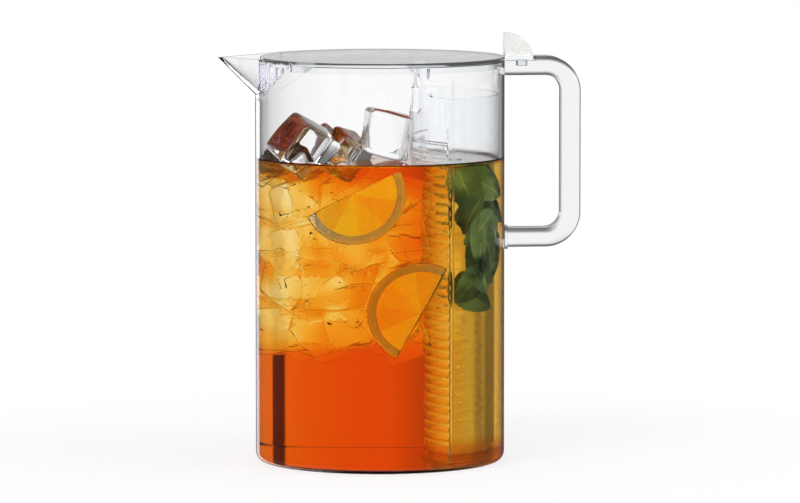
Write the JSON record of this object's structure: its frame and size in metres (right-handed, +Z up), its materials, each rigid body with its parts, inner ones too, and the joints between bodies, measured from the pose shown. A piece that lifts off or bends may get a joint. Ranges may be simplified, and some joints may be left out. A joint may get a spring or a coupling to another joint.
{
  "type": "iced tea pitcher",
  "caption": "Clear plastic pitcher with a pointed spout, a loop handle, a lift-off lid with an ice strainer and thumb rest, and a lift-out infuser behind a perforated screen.",
  "frame": {"origin": "middle of the underside, on the jug's axis", "axes": "+Z up along the jug's axis, +X from the axis towards the handle, so the spout is on -X, and +Y away from the viewer of the picture"},
  "size_m": [0.2186, 0.15, 0.2579],
  "materials": {
    "jug_plastic": "clear polished styrene plastic",
    "handle_plastic": "clear polished styrene plastic, solid bar",
    "lid_plastic": "clear plastic with a faint grey tint",
    "frosted_plastic": "frosted clear plastic",
    "infuser_plastic": "clear plastic"
  },
  "bodies": {
    "jug": {"jug_body": "jug_plastic", "spout": "jug_plastic", "handle": "handle_plastic"},
    "lid": {"lid": "lid_plastic", "ice_strainer": "jug_plastic", "thumb_rest": "frosted_plastic"},
    "infuser": {"infuser_screen": "infuser_plastic", "infuser_shell": "infuser_plastic", "infuser_base": "infuser_plastic", "corner_posts": "infuser_plastic"}
  },
  "joints": [
    {"name": "lid_lift", "type": "slide", "parent": "jug", "child": "lid", "axis": [0, 0, 1], "range_m": [0, 0.32]},
    {"name": "infuser_lift", "type": "slide", "parent": "jug", "child": "infuser", "axis": [0, 0, 1], "range_m": [0, 0.275]}
  ],
  "couplings": [
    {"joint": "infuser_lift", "follows": "lid_lift", "ratio": 0.85}
  ]
}
